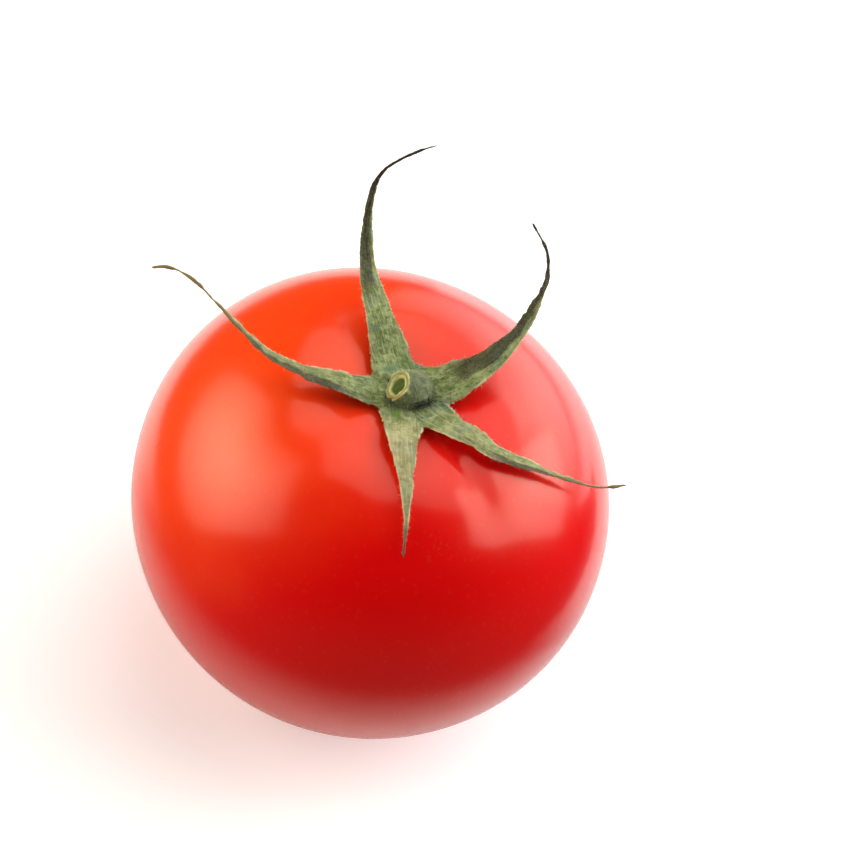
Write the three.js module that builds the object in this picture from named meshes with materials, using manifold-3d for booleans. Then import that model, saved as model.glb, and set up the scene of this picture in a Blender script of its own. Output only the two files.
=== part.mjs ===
// A ripe round tomato, as picked, with its green calyx and the cut stub of its stalk.
// Millimetres, +Z up. The origin is the middle of the small flat spot at the blossom end, on which
// the fruit rests. The stem axis is +Z and the calyx is on top.
import * as THREE from 'three';
import { mergeVertices } from 'three/addons/utils/BufferGeometryUtils.js';
import Module from 'manifold-3d';

// Driving dimensions of the fruit
const EQUATOR_RADIUS = 36;
const EQUATOR_HEIGHT = 29.5;
const CROWN_RISE = 32.75; // from the equator to the top of the shoulders, without the stem cavity
const BASE_DROP = 30.25; // from the equator to the blossom end, before the flat spot is cut off
const CAVITY_DEPTH = 4.2;
const CAVITY_RADIUS = 11.5;
const FURROW_MIDDLE = 16; // distance from the stem axis at which a furrow is deepest
const FURROW_REACH = 7;

// How full the profile is above and below the equator: a plain ellipse has every power at 1
const CROWN_SPREAD = 0.88;
const CROWN_FULLNESS = 0.956;
const BASE_SPREAD = 0.944;

// Shallow furrows that run from the stem cavity over the shoulder: direction, depth, width
const FURROWS = [
  { azimuth: -137, depth: 0.6, width: 16 },
  { azimuth: -87, depth: 0.3, width: 12 },
  { azimuth: -40, depth: 0.55, width: 7 },
  { azimuth: 33, depth: 0.3, width: 16 },
  { azimuth: 136, depth: 0.35, width: 12 },
];

// The fruit isn't quite round: two shallow waves round its girth
const GIRTH_WAVES = [
  { lobes: 2, share: 0.0095, azimuth: -36 },
  { lobes: 3, share: 0.0065, azimuth: 24 },
];

// Driving dimensions of the calyx
const SKIN_GAP = 0.5; // clear space between the green parts and the skin
const HUB_RADIUS = 5;
const HUB_THICKNESS = 1.6;
const HUB_EDGE = 0.8;
const SEPAL_THICKNESS = 0.7;
const SEPAL_LIFT = 0.95; // lowest that the middle of a sepal comes over the skin
const SEPAL_TIP_WIDTH = 0.7;
const SEPAL_FLAT_ROOT = 0.25; // share of its length over which the fold sets in
const STUB_RADIUS = 2.1;
const STUB_SWELLING = 0.2; // extra share of the radius at the knuckle, where the stalk bends

// Five sepals. A route is the middle line from the hub to the tip, as x, y, height.
// width is across the root, taper says how early the blade narrows, tail adds width to its far
// half, fold is how far its edges rise for each millimetre out from the rib, and twist is the turn
// at the tip in degrees.
const SEPALS = [
  {
    route: [[0, 0, 58.2], [-3.1, 3.8, 59], [-6, 8.1, 61.2], [-9.3, 13, 62.8], [-11.8, 17.7, 65.2],
      [-13.2, 21.6, 70], [-13.2, 23.2, 74.8], [-11.4, 24, 78.3], [-8.8, 25.4, 80.3], [-6.2, 27.3, 81]],
    width: 7.2, taper: 2.1, tail: 1.2, fold: 0.22, twist: -35,
  },
  {
    route: [[0, 0, 58.2], [4.6, 2.3, 59], [7.8, 4.4, 61], [10.5, 7.1, 63], [12.6, 10.3, 65.2],
      [14, 14, 68.8], [14.3, 16.8, 72.6], [13.1, 18.6, 76], [9.6, 20.4, 79.2]],
    width: 8.8, taper: 1.9, tail: 1.1, fold: 0.26, twist: 25,
  },
  {
    route: [[0, 0, 58.2], [5.5, -3.6, 59.8], [8.3, -5, 60.8], [11.2, -5.8, 61.1], [14, -6.6, 60.6],
      [18.1, -6.1, 59.4], [22.3, -4.9, 57.7], [26.5, -3.3, 55.5], [30.8, -1, 52.9], [35, 1.6, 52.2]],
    width: 7, taper: 1.8, tail: 0.5, fold: 0.2, twist: 25,
  },
  {
    route: [[0, 0, 58.2], [0.7, -4.9, 59], [2, -10.4, 60.9], [3.5, -14.7, 60.6], [4.8, -18.3, 59.3],
      [5.9, -21.5, 57.4], [6.8, -24.9, 55.3]],
    width: 9, taper: 1.5, tail: 0.3, fold: 0.12, twist: 0,
  },
  {
    route: [[0, 0, 58.2], [-4.6, -2.2, 59.2], [-8.4, -3.7, 61], [-12.6, -4.5, 61.9], [-16.4, -4.6, 62.5],
      [-20.5, -3.3, 62.2], [-25, -0.5, 62], [-29.6, 2.4, 62.2], [-34, 4.6, 62.9], [-37.5, 5.2, 63],
      [-40.2, 4.7, 62.2]],
    width: 7, taper: 2.4, tail: 0.5, fold: 0.2, twist: -15,
  },
];

// The cut stalk rises from the hub, bends over and ends in a cut face that looks outwards
const STUB_ROUTE = [[1.2, 0.5, 59.3], [1.2, 0.5, 59.8], [1, 0, 60.5], [-0.2, -1.2, 61.4], [-1.3, -1.6, 62.1]];
const STUB_KNUCKLE = 0.55; // how far along the route the knuckle is

// The dried rim of the cut stands out and its pith has sunk: share of the radius and depth of rings
const CUT_RINGS = [{ share: 1.12, depth: 0 }, { share: 0.72, depth: -0.06 }, { share: 0.5, depth: 0.45 }];

const FRUIT_STEPS = { round: 64, tall: 44 };
const HUB_STEPS = { round: 30, tall: 10 };
const SEPAL_STEPS = { round: 12, long: 30 };
const STUB_STEPS = { round: 18, long: 10 };

const wasm = await Module();
wasm.setup();

const radians = THREE.MathUtils.degToRad;

function girthRadius(azimuth) {
  const waves = GIRTH_WAVES.map((wave) => wave.share * Math.cos(wave.lobes * (azimuth - radians(wave.azimuth))));
  return EQUATOR_RADIUS * waves.reduce((sum, wave) => sum + wave, 1);
}

// How far the furrows lower the skin at a place on the crown
function furrowDepth(distance, azimuth) {
  const along = Math.exp(-(((distance - FURROW_MIDDLE) / FURROW_REACH) ** 2));
  const across = FURROWS.map((furrow) => {
    const turn = Math.abs(azimuth - radians(furrow.azimuth)) % (2 * Math.PI);
    const nearest = Math.min(turn, 2 * Math.PI - turn);
    return furrow.depth * Math.exp(-((nearest / radians(furrow.width)) ** 2));
  });
  return along * across.reduce((sum, depth) => sum + depth, 0);
}

// Height of the skin on the crown, from the equator up: a full ellipse, less cavity and furrows
function crownHeight(distance, azimuth) {
  const share = Math.min(distance / girthRadius(azimuth), 1);
  const rise = CROWN_RISE * (1 - share ** (2 / CROWN_SPREAD)) ** (CROWN_FULLNESS / 2);
  const cavity = CAVITY_DEPTH * Math.exp(-((distance / CAVITY_RADIUS) ** 2));
  return EQUATOR_HEIGHT + rise - cavity - furrowDepth(distance, azimuth);
}

// A unit sphere whose every vertex is moved by a formula, which gets the two angles of its place:
// polar runs from 0 at the first pole to pi at the last, azimuth once round the axis
function shapedSphere(steps, place) {
  const sphere = new THREE.SphereGeometry(1, steps.round, steps.tall);
  sphere.rotateX(Math.PI / 2);
  const spots = sphere.attributes.position;
  const spot = new THREE.Vector3();
  for (let i = 0; i < spots.count; i += 1) {
    spot.fromBufferAttribute(spots, i).normalize();
    const polar = Math.acos(THREE.MathUtils.clamp(spot.z, -1, 1));
    place(polar, Math.atan2(spot.y, spot.x), spot);
    spots.setXYZ(i, spot.x, spot.y, spot.z);
  }
  return welded(sphere);
}

function welded(geometry) {
  geometry.deleteAttribute('normal');
  geometry.deleteAttribute('uv');
  return mergeVertices(geometry);
}

function fruitGeometry() {
  return shapedSphere(FRUIT_STEPS, (polar, azimuth, spot) => {
    const crown = polar < Math.PI / 2;
    const share = Math.max(Math.sin(polar), 0) ** (crown ? CROWN_SPREAD : BASE_SPREAD);
    const distance = girthRadius(azimuth) * share;
    const below = EQUATOR_HEIGHT + BASE_DROP * Math.cos(polar);
    const height = crown ? crownHeight(distance, azimuth) : Math.max(below, 0);
    spot.set(distance * Math.cos(azimuth), distance * Math.sin(azimuth), height);
  });
}

// The hub is a low disc that follows the floor of the stem cavity and thins towards its edge
function hubGeometry() {
  return shapedSphere(HUB_STEPS, (polar, azimuth, spot) => {
    const distance = HUB_RADIUS * Math.sin(polar);
    const skin = crownHeight(distance, azimuth) + SKIN_GAP;
    const middle = HUB_EDGE + (HUB_THICKNESS - HUB_EDGE) * Math.abs(Math.cos(polar));
    const height = polar < Math.PI / 2 ? skin + middle : skin + HUB_EDGE * (1 + Math.cos(polar)) / 2;
    spot.set(distance * Math.cos(azimuth), distance * Math.sin(azimuth), height);
  });
}

// Lifts a point of a sepal's middle line so that it never comes nearer to the skin than its lift
function clearOfSkin(point) {
  const distance = Math.hypot(point.x, point.y);
  const lowest = crownHeight(distance, Math.atan2(point.y, point.x)) + SEPAL_LIFT;
  const spare = point.z - lowest;
  point.z = lowest + (spare + Math.hypot(spare, 0.5)) / 2;
  return point;
}

// Centre, side and upward directions at even steps along a route, without a sudden turn
function carriedFrames(curve, steps, place) {
  const points = Array.from({ length: steps + 1 }, (_, i) => place(curve.getPointAt(i / steps)));
  const up = new THREE.Vector3(0, 0, 1);
  return points.map((point, i) => {
    const ahead = points[Math.min(i + 1, steps)].clone().sub(points[Math.max(i - 1, 0)]).normalize();
    up.addScaledVector(ahead, -up.dot(ahead)).normalize();
    return { point, side: ahead.clone().cross(up), up: up.clone() };
  });
}

// One sepal: a lens-shaped section with raised edges, carried along the route to a narrow tip
function sepalGeometry({ route, width, taper, tail, fold, twist }) {
  const curve = new THREE.CatmullRomCurve3(route.map((point) => new THREE.Vector3(...point)));
  const frames = carriedFrames(curve, SEPAL_STEPS.long, clearOfSkin);
  const steps = { round: SEPAL_STEPS.round, tall: SEPAL_STEPS.long };
  return shapedSphere(steps, (polar, azimuth, spot) => {
    const along = polar / Math.PI;
    const { point, side, up } = frames[Math.round(along * SEPAL_STEPS.long)];
    const closed = Math.sqrt(Math.min(1, 12 * along, 12 * (1 - along)));
    const broad = width * (1 - along) ** taper + tail * Math.sqrt(1 - along);
    const half = closed * Math.max(broad, SEPAL_TIP_WIDTH) / 2;
    const out = half * Math.cos(azimuth);
    const folded = fold * Math.min(1, along / SEPAL_FLAT_ROOT) * Math.abs(out);
    const rise = closed * SEPAL_THICKNESS / 2 * Math.sin(azimuth) + folded;
    const turn = radians(twist) * along * along;
    spot.copy(point);
    spot.addScaledVector(side, out * Math.cos(turn) - rise * Math.sin(turn));
    spot.addScaledVector(up, out * Math.sin(turn) + rise * Math.cos(turn));
  });
}

// The stub is round with a swollen knuckle; rings past its end make the rim and hollow of the cut
function stubGeometry() {
  const curve = new THREE.CatmullRomCurve3(STUB_ROUTE.map((point) => new THREE.Vector3(...point)));
  const frames = carriedFrames(curve, STUB_STEPS.long, (point) => point);
  const rings = frames.map((frame, i) => {
    const knuckle = (i / STUB_STEPS.long - STUB_KNUCKLE) / 0.3;
    return { frame, share: 1 + STUB_SWELLING * Math.exp(-knuckle * knuckle), depth: 0 };
  });
  const last = frames[STUB_STEPS.long];
  const cut = CUT_RINGS.map((ring) => ({ frame: last, ...ring }));
  const closing = { frame: last, share: 0, depth: CUT_RINGS[CUT_RINGS.length - 1].depth };
  const sections = [{ ...rings[0], share: 0 }, ...rings.slice(0, -1), ...cut, closing];
  const steps = { round: STUB_STEPS.round, tall: sections.length - 1 };
  return shapedSphere(steps, (polar, azimuth, spot) => {
    const { frame, share, depth } = sections[Math.round(polar / Math.PI * steps.tall)];
    const forward = frame.up.clone().cross(frame.side);
    spot.copy(frame.point);
    spot.addScaledVector(frame.side, share * STUB_RADIUS * Math.cos(azimuth));
    spot.addScaledVector(frame.up, share * STUB_RADIUS * Math.sin(azimuth));
    spot.addScaledVector(forward, -depth);
  });
}

function solidOf(geometry) {
  const mesh = new wasm.Mesh({
    numProp: 3,
    vertProperties: new Float32Array(geometry.attributes.position.array),
    triVerts: new Uint32Array(geometry.index.array),
  });
  return new wasm.Manifold(mesh);
}

function geometryOf(solid) {
  const mesh = solid.getMesh();
  const geometry = new THREE.BufferGeometry();
  geometry.setAttribute('position', new THREE.BufferAttribute(mesh.vertProperties, 3));
  geometry.setIndex(new THREE.BufferAttribute(mesh.triVerts, 1));
  return geometry;
}

// The calyx grew as one piece: hub, sepals and the stub of the stalk are joined in one solid
function calyxGeometry() {
  const grown = [stubGeometry(), ...SEPALS.map(sepalGeometry)].map(solidOf);
  return geometryOf(grown.reduce((whole, piece) => whole.add(piece), solidOf(hubGeometry())));
}

function piece(name, geometry, finish) {
  const mesh = new THREE.Mesh(geometry, new THREE.MeshStandardMaterial({ metalness: 0, ...finish }));
  mesh.name = name;
  return mesh;
}

const tomato = new THREE.Group();
tomato.add(piece('fruit', fruitGeometry(), { color: 0xd3150f, roughness: 0.22 }));
tomato.add(piece('calyx', calyxGeometry(), { color: 0x6c8250, roughness: 0.8 }));

export default tomato;
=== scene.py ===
# %% [markdown]
# # A ripe tomato with its calyx
#
# This lesson dresses one round tomato, as picked: a glossy red fruit, and on top of it the green
# star of five sepals with the cut stub of the stalk. The solids of the part are loaded first as a
# fixed frame. They give the size and the place of everything, and each new piece stands for one of
# them. All lengths below are millimetres until a mesh is made, because a fruit is measured so.

import math

import bpy
import numpy as np
from mathutils import Matrix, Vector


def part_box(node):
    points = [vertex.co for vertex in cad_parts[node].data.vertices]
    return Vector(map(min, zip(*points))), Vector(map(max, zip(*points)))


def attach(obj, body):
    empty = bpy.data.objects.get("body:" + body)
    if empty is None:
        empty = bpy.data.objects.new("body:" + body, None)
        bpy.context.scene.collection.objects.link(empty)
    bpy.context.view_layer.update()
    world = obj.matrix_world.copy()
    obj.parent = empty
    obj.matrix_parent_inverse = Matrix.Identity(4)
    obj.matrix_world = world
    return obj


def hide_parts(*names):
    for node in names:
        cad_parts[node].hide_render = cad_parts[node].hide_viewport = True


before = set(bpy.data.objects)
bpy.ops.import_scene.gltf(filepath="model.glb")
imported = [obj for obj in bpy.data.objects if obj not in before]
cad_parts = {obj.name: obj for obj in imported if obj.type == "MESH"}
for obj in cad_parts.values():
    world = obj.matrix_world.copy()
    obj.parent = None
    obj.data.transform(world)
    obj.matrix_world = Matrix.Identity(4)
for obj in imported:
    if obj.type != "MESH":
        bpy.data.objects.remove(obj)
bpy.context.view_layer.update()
MM = 0.001
fruit_low, fruit_high = (np.array(corner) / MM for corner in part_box("fruit"))
print("nodes:", sorted(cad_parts), "fruit box in mm:", fruit_low.round(1), fruit_high.round(1))

# %% [markdown]
# ## The camera
#
# The photograph looks at the tomato from above the front of its shoulder, and the stem axis leans
# to the right in the picture. A lying tomato would have to be propped, so this one stands upright
# and the camera does the leaning: it looks down by 55 degrees and is rolled by 18. The two angles,
# the scale and the place in the picture come from fitting the outline of the fruit. No lens shift
# is used: the camera is turned by a degree or two until the middle of the fruit is where it was.

# %% Work out the directions of the picture
VIEW_ELEVATION = math.radians(54.9)
VIEW_ROLL = math.radians(17.9)
EQUATOR_HEIGHT = 29.5

fruit_middle = np.array([0.0, 0.0, EQUATOR_HEIGHT])
level = np.array([1.0, 0.0, 0.0])
towards = np.array([0.0, -math.cos(VIEW_ELEVATION), math.sin(VIEW_ELEVATION)])
upward = np.cross(towards, level)
picture_right = level * math.cos(VIEW_ROLL) + upward * math.sin(VIEW_ROLL)
picture_up = upward * math.cos(VIEW_ROLL) - level * math.sin(VIEW_ROLL)


def unit(vector):
    """The same direction with a length of one."""
    return vector / np.linalg.norm(vector, axis=-1, keepdims=True)


print("the picture's right and up:", picture_right.round(2), picture_up.round(2))

# %% Place the camera
VIEW_DISTANCE = 450.0
PICTURE_SIZE = 850.0
PICTURE_SPOT = (368.7, 505.2)
PIXELS_PER_MM = 6.632
SENSOR_WIDTH = 36.0
NEAREST_SEEN = 0.01


def make_camera():
    """A camera whose optical axis misses the fruit's middle by the spot's offset in the picture."""
    lens = SENSOR_WIDTH * PIXELS_PER_MM * VIEW_DISTANCE / PICTURE_SIZE
    offset = (np.array(PICTURE_SPOT) / PICTURE_SIZE - 0.5) * SENSOR_WIDTH
    back = unit(towards * lens + picture_right * offset[0] - picture_up * offset[1])
    right = unit(np.cross(picture_up, back))
    up = np.cross(back, right)
    camera = bpy.data.objects.new("camera", bpy.data.cameras.new("camera"))
    camera.data.sensor_width = SENSOR_WIDTH
    camera.data.lens = lens
    camera.data.clip_start = NEAREST_SEEN
    place = (fruit_middle + towards * VIEW_DISTANCE) * MM
    camera.matrix_world = Matrix.Translation(place) @ Matrix(np.stack([right, up, back], 1)).to_4x4()
    bpy.context.scene.collection.objects.link(camera)
    bpy.context.scene.camera = camera
    return camera


camera = make_camera()
print("lens in mm:", round(camera.data.lens, 1))

# %% [markdown]
# ## Helpers for meshes
#
# A grown shape has no flat faces and no edges, so boxes and bevels don't help. Here every surface
# is a grid of points worked out from two parameters: rings from one pole to the other, closed by a
# point at each end. One helper turns such rings into a mesh whose faces point outwards.

# %% Turn rings of points into a mesh
def closed_mesh(name, first, rings, last):
    """Joins ring to ring with quads and each end to its pole with triangles. rings is rows x around x 3."""
    rows, around = rings.shape[:2]
    index = 1 + np.arange(rows * around).reshape(rows, around)
    turned = np.roll(index, -1, axis=1)
    quads = np.stack([index[:-1], index[1:], turned[1:], turned[:-1]], -1).reshape(-1, 4)
    start = np.stack([np.zeros(around, int), index[0], turned[0]], 1)
    end = np.stack([index[-1], np.full(around, rows * around + 1), turned[-1]], 1)
    points = np.vstack([first, rings.reshape(-1, 3), last]) * MM
    mesh = bpy.data.meshes.new(name)
    mesh.from_pydata(points.tolist(), [], quads.tolist() + start.tolist() + end.tolist())
    mesh.polygons.foreach_set("use_smooth", np.ones(len(mesh.polygons), bool))
    mesh.update()
    piece = bpy.data.objects.new(name, mesh)
    bpy.context.scene.collection.objects.link(piece)
    return piece


print("rings are closed by a point at each end")

# %% Read a mesh back and mark its points
def mesh_points(piece):
    """The mesh's points as an array in millimetres."""
    flat = np.zeros(len(piece.data.vertices) * 3, np.float32)
    piece.data.vertices.foreach_get("co", flat)
    return flat.reshape(-1, 3).astype(float) / MM


def add_attribute(piece, name, values):
    """Stores one number for each point, which a material can read by its name."""
    attribute = piece.data.attributes.new(name, "FLOAT", "POINT")
    attribute.data.foreach_set("value", np.asarray(values, np.float32))


print("a mesh holds metres, and its points are read back in millimetres")

# %% Ease between values and make soft lumps
LATTICE = 64


def smooth_step(low, high, value):
    """0 below low, 1 above high, and an even ease in between."""
    share = np.clip((value - low) / (high - low), 0.0, 1.0)
    return share * share * (3.0 - 2.0 * share)


def bell(value, width):
    """A bell curve: 1 where the value is 0, and 0.37 where it is as large as the width."""
    return np.exp(-((value / width) ** 2))


def lumps(points, size, seed):
    """Soft lumps from -1 to 1: seeded numbers on a cubic lattice of that size in mm, eased between."""
    table = np.random.default_rng(seed).uniform(-1.0, 1.0, (LATTICE, LATTICE, LATTICE))
    cell = points / size
    corner = np.floor(cell).astype(int)
    ease = smooth_step(0.0, 1.0, cell - corner)
    total = np.zeros(len(points))
    for step in np.ndindex(2, 2, 2):
        weight = np.prod(np.where(step, ease, 1.0 - ease), axis=1)
        spot = (corner + step) % LATTICE
        total += weight * table[spot[:, 0], spot[:, 1], spot[:, 2]]
    return total


print("half of an ease from 0 to 1:", float(smooth_step(0.0, 1.0, 0.5)))

# %% [markdown]
# ## The fruit
#
# A tomato could be sculpted from a sphere, but its form is regular enough for a formula, and a
# formula fits the frame exactly. The profile is a full ellipse, a little squarer above the equator.
# A soft hollow makes the stem cavity, and five shallow furrows run from it over the shoulder, where
# the walls between the seed chambers hold the skin in. They are what breaks up the highlights.

# %% Work out the height of the skin
EQUATOR_RADIUS = 36.0
CROWN_RISE = 32.75
BASE_DROP = 30.25
CAVITY_DEPTH = 4.2
CAVITY_RADIUS = 11.5
CROWN_SPREAD = 0.88
CROWN_FULLNESS = 0.956
BASE_SPREAD = 0.944
FURROW_MIDDLE = 16.0
FURROW_REACH = 7.0
FURROWS = [(-137, 0.6, 16), (-87, 0.3, 12), (-40, 0.55, 7), (33, 0.3, 16), (136, 0.35, 12)]
GIRTH_WAVES = [(2, 0.0095, -36), (3, 0.0065, 24)]


def girth_radius(azimuth):
    """The equator's radius: a circle with two shallow waves round it, as lobes, share, azimuth."""
    waves = [share * np.cos(lobes * (azimuth - math.radians(turn))) for lobes, share, turn in GIRTH_WAVES]
    return EQUATOR_RADIUS * (1.0 + sum(waves))


def furrow_depth(distance, azimuth):
    """Bell curves across each furrow, as azimuth, depth, width, times one bell along all of them."""
    total = 0.0
    for turn, depth, width in FURROWS:
        nearest = np.degrees(np.angle(np.exp(1j * (azimuth - math.radians(turn)))))
        total = total + depth * bell(nearest, width)
    return total * bell(distance - FURROW_MIDDLE, FURROW_REACH)


def crown_height(distance, azimuth):
    """Height of the skin: the equator plus a full ellipse, less a bell for the cavity and the furrows."""
    share = np.minimum(distance / girth_radius(azimuth), 1.0)
    rise = CROWN_RISE * (1.0 - share ** (2.0 / CROWN_SPREAD)) ** (CROWN_FULLNESS / 2.0)
    cavity = CAVITY_DEPTH * bell(distance, CAVITY_RADIUS)
    return EQUATOR_HEIGHT + rise - cavity - furrow_depth(distance, azimuth)


print("skin height at the cavity and the shoulder:", crown_height(np.array([0.0, 12.0]), 0.0).round(2))

# %% [markdown]
# The underside has one more detail, which only shows when the fruit is picked up: the blossom scar,
# a small corky button in a shallow dimple. The dimple lies inside the flat spot that carries the
# fruit, so the fruit still rests on the same ring.

# %% Build the fruit
FRUIT_ROWS = 230
FRUIT_AROUND = 360
DIMPLE_RADIUS = 4.0
DIMPLE_DEPTH = 0.9
SCAR_RADIUS = 1.3
SCAR_RISE = 0.35
FOOT_EASE = 0.05
POLE_CROWDING = 0.12


def base_height(polar, distance):
    """The lower ellipse, eased into the flat spot, with the dimple and the button of the blossom scar."""
    ellipse = EQUATOR_HEIGHT + BASE_DROP * np.cos(polar)
    foot = (ellipse + np.hypot(ellipse, FOOT_EASE)) / 2.0
    dimple = DIMPLE_DEPTH * np.exp(-((distance / DIMPLE_RADIUS) ** 4))
    scar = SCAR_RISE * np.exp(-((distance / SCAR_RADIUS) ** 4))
    return foot + dimple - scar


def make_fruit():
    """Rings from the stem cavity down to the blossom end, closer together near both poles."""
    share = np.linspace(0.0, 1.0, FRUIT_ROWS + 2)[:, None]
    polar = math.pi * share - POLE_CROWDING * np.sin(2.0 * math.pi * share)
    azimuth = np.linspace(0.0, 2.0 * math.pi, FRUIT_AROUND, endpoint=False)[None, :]
    crown = polar < math.pi / 2.0
    spread = np.where(crown, CROWN_SPREAD, BASE_SPREAD)
    distance = girth_radius(azimuth) * np.clip(np.sin(polar), 0.0, 1.0) ** spread
    height = np.where(crown, crown_height(distance, azimuth), base_height(polar, distance))
    grid = np.stack([distance * np.cos(azimuth), distance * np.sin(azimuth), height], -1)
    return closed_mesh("tomato_fruit", grid[0, 0], grid[1:-1], grid[-1, 0])


fruit = make_fruit()
spots = mesh_points(fruit)
print("fruit triangles:", 2 * FRUIT_ROWS * FRUIT_AROUND, "height:", round(float(np.ptp(spots[:, 2])), 2))

# %% [markdown]
# ## Helpers for materials
#
# Colours are picked in sRGB, as they are seen in a picture, and shaders work in linear light, so one
# function turns one into the other. Another adds a node with its settings and links. A link is
# given as a node, and then its first output is meant, or as the output itself.

# %% Turn colours to linear and add nodes
def colour(hex_code):
    """Linear red, green, blue and alpha of an sRGB hex colour."""
    parts = np.array([int(hex_code[i : i + 2], 16) for i in (1, 3, 5)]) / 255.0
    linear = np.where(parts <= 0.04045, parts / 12.92, ((parts + 0.055) / 1.055) ** 2.4)
    return (*linear, 1.0)


def add_node(tree, kind, inputs=None, **settings):
    """Adds a node, sets its own settings, and gives each input a value or a link."""
    node = tree.nodes.new(kind)
    for name, value in settings.items():
        setattr(node, name, value)
    for key, value in (inputs or {}).items():
        named = (socket for socket in node.inputs if socket.name == key and socket.enabled)
        target = node.inputs[key] if isinstance(key, int) else next(named)
        if isinstance(value, bpy.types.Node):
            value = next(socket for socket in value.outputs if socket.enabled)
        if isinstance(value, bpy.types.NodeSocket):
            tree.links.new(value, target)
        else:
            target.default_value = value
    return node


def new_material(name):
    """An empty material with its tree and the place of each point on the object."""
    material = bpy.data.materials.new(name)
    material.use_nodes = True
    tree = material.node_tree
    tree.nodes.clear()
    return material, tree, add_node(tree, "ShaderNodeTexCoord").outputs["Object"]


def per_mm(size):
    """The scale of a pattern whose lumps are that many millimetres across."""
    return 1.0 / (size * MM)


EASED = {"interpolation_type": "SMOOTHSTEP"}
COLOURS = {"data_type": "RGBA"}
print("linear white:", colour("#ffffff"))

# %% [markdown]
# ## Tomato skin
#
# The skin is a thin clear cuticle of wax over red flesh. The flesh lets light in a millimetre or two
# and turns it red, which is what makes a tomato glow instead of looking painted. Its colour could be
# painted on an image, but height and noise that are read straight from the object need no unwrapping
# and have their real size. The red here is painted deeper below and brighter above, as shade and
# light, and more orange on the upper left shoulder, which is partly the sun's ripening and partly
# painted light from the left.

# %% Mix the reds
SHADE_RED = "#be0006"
LIT_RED = "#dc0005"
LIT_SUNNY_ORANGE = "#ee4c10"
LIT_SUNNY_SIDE = (-0.75, 0.1, 0.65)
ORANGE_CLOUDS = 16.0
ORANGE_UNEVENNESS = 14.0


def lit_and_sunny_red(tree, place):
    """Red painted darker below and brighter above as shade and light, turning orange in soft clouds towards
    the upper left, partly sun colour and partly painted light.
    """
    # painted shade and light: the red is darker low on the fruit and brighter high up
    height = add_node(tree, "ShaderNodeSeparateXYZ", {"Vector": place}).outputs["Z"]
    lit_share = {"Value": height, "From Min": 22 * MM, "From Max": 56 * MM}
    lit_share = add_node(tree, "ShaderNodeMapRange", lit_share, **EASED)
    red = {"Factor": lit_share, "A": colour(SHADE_RED), "B": colour(LIT_RED)}
    red = add_node(tree, "ShaderNodeMix", red, **COLOURS)
    # orange towards the upper left: partly sun colour, partly painted light from the left lamp
    toward_lit_side = add_node(tree, "ShaderNodeVectorMath", {0: place, 1: LIT_SUNNY_SIDE}, operation="DOT_PRODUCT")
    cloud = {"Vector": place, "Scale": per_mm(ORANGE_CLOUDS), "Detail": 2.0}
    cloud = add_node(tree, "ShaderNodeTexNoise", cloud)
    uneven = {0: cloud, 1: ORANGE_UNEVENNESS * MM, 2: toward_lit_side.outputs["Value"]}
    uneven = add_node(tree, "ShaderNodeMath", uneven, operation="MULTIPLY_ADD")
    lit_orange_share = {"Value": uneven, "From Min": 36 * MM, "From Max": 64 * MM, "To Max": 0.8}
    lit_orange_share = add_node(tree, "ShaderNodeMapRange", lit_orange_share, **EASED)
    red = {"Factor": lit_orange_share, "A": red, "B": colour(LIT_SUNNY_ORANGE)}
    return add_node(tree, "ShaderNodeMix", red, **COLOURS)


print("reds:", SHADE_RED, LIT_RED, LIT_SUNNY_ORANGE)

# %% [markdown]
# Small marks lie on the red: faint pale flecks just under a millimetre apart, a few corky specks
# where a sepal's tip has rubbed the fruit, and the blossom scar underneath, which is cork as well.
# Each is a mask that mixes its own colour in.

# %% Add flecks and cork
FLECK = "#f07a50"
FLECK_SPACING = 0.9
FLECK_STRENGTH = 0.035
CORK_BROWN = "#8a6a44"
CORK_GRAIN = 0.55
CORK_STRENGTH = 0.15
RUBBED_SPOT = (10.8 * MM, -19.9 * MM, 56.2 * MM)
RUBBED_INSIDE = 1.5
RUBBED_OUTSIDE = 4.5


def with_flecks(tree, place, red):
    """A pale colour where a fine noise is at its highest."""
    dots = {"Vector": place, "Scale": per_mm(FLECK_SPACING), "Detail": 1.0}
    dots = {"Value": add_node(tree, "ShaderNodeTexNoise", dots), "From Min": 0.62, "From Max": 0.74}
    flecks = add_node(tree, "ShaderNodeMapRange", {**dots, "To Max": FLECK_STRENGTH}, **EASED)
    return add_node(tree, "ShaderNodeMix", {"Factor": flecks, "A": red, "B": colour(FLECK)}, **COLOURS)


def with_cork(tree, place, red):
    """Brown specks round the rubbed spot, fading outwards, and the blossom scar."""
    away = add_node(tree, "ShaderNodeVectorMath", {0: place, 1: RUBBED_SPOT}, operation="DISTANCE")
    near = {"Value": away.outputs["Value"], "From Min": RUBBED_INSIDE * MM, "From Max": RUBBED_OUTSIDE * MM}
    near = add_node(tree, "ShaderNodeMapRange", {**near, "To Min": 1.0, "To Max": 0.0})
    grains = {"Vector": place, "Scale": per_mm(CORK_GRAIN), "Detail": 2.0}
    grains = {"Value": add_node(tree, "ShaderNodeTexNoise", grains), "From Min": 0.6, "From Max": 0.7}
    grains = add_node(tree, "ShaderNodeMapRange", {**grains, "To Max": CORK_STRENGTH})
    specks = add_node(tree, "ShaderNodeMath", {0: grains, 1: near}, operation="MULTIPLY")
    red = add_node(tree, "ShaderNodeMix", {"Factor": specks, "A": red, "B": colour(CORK_BROWN)}, **COLOURS)
    scar = add_node(tree, "ShaderNodeAttribute", attribute_name="scar").outputs["Fac"]
    return add_node(tree, "ShaderNodeMix", {"Factor": scar, "A": red, "B": colour(CORK_BROWN)}, **COLOURS)


print("the rubbed spot is", RUBBED_OUTSIDE, "mm in radius")

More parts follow.
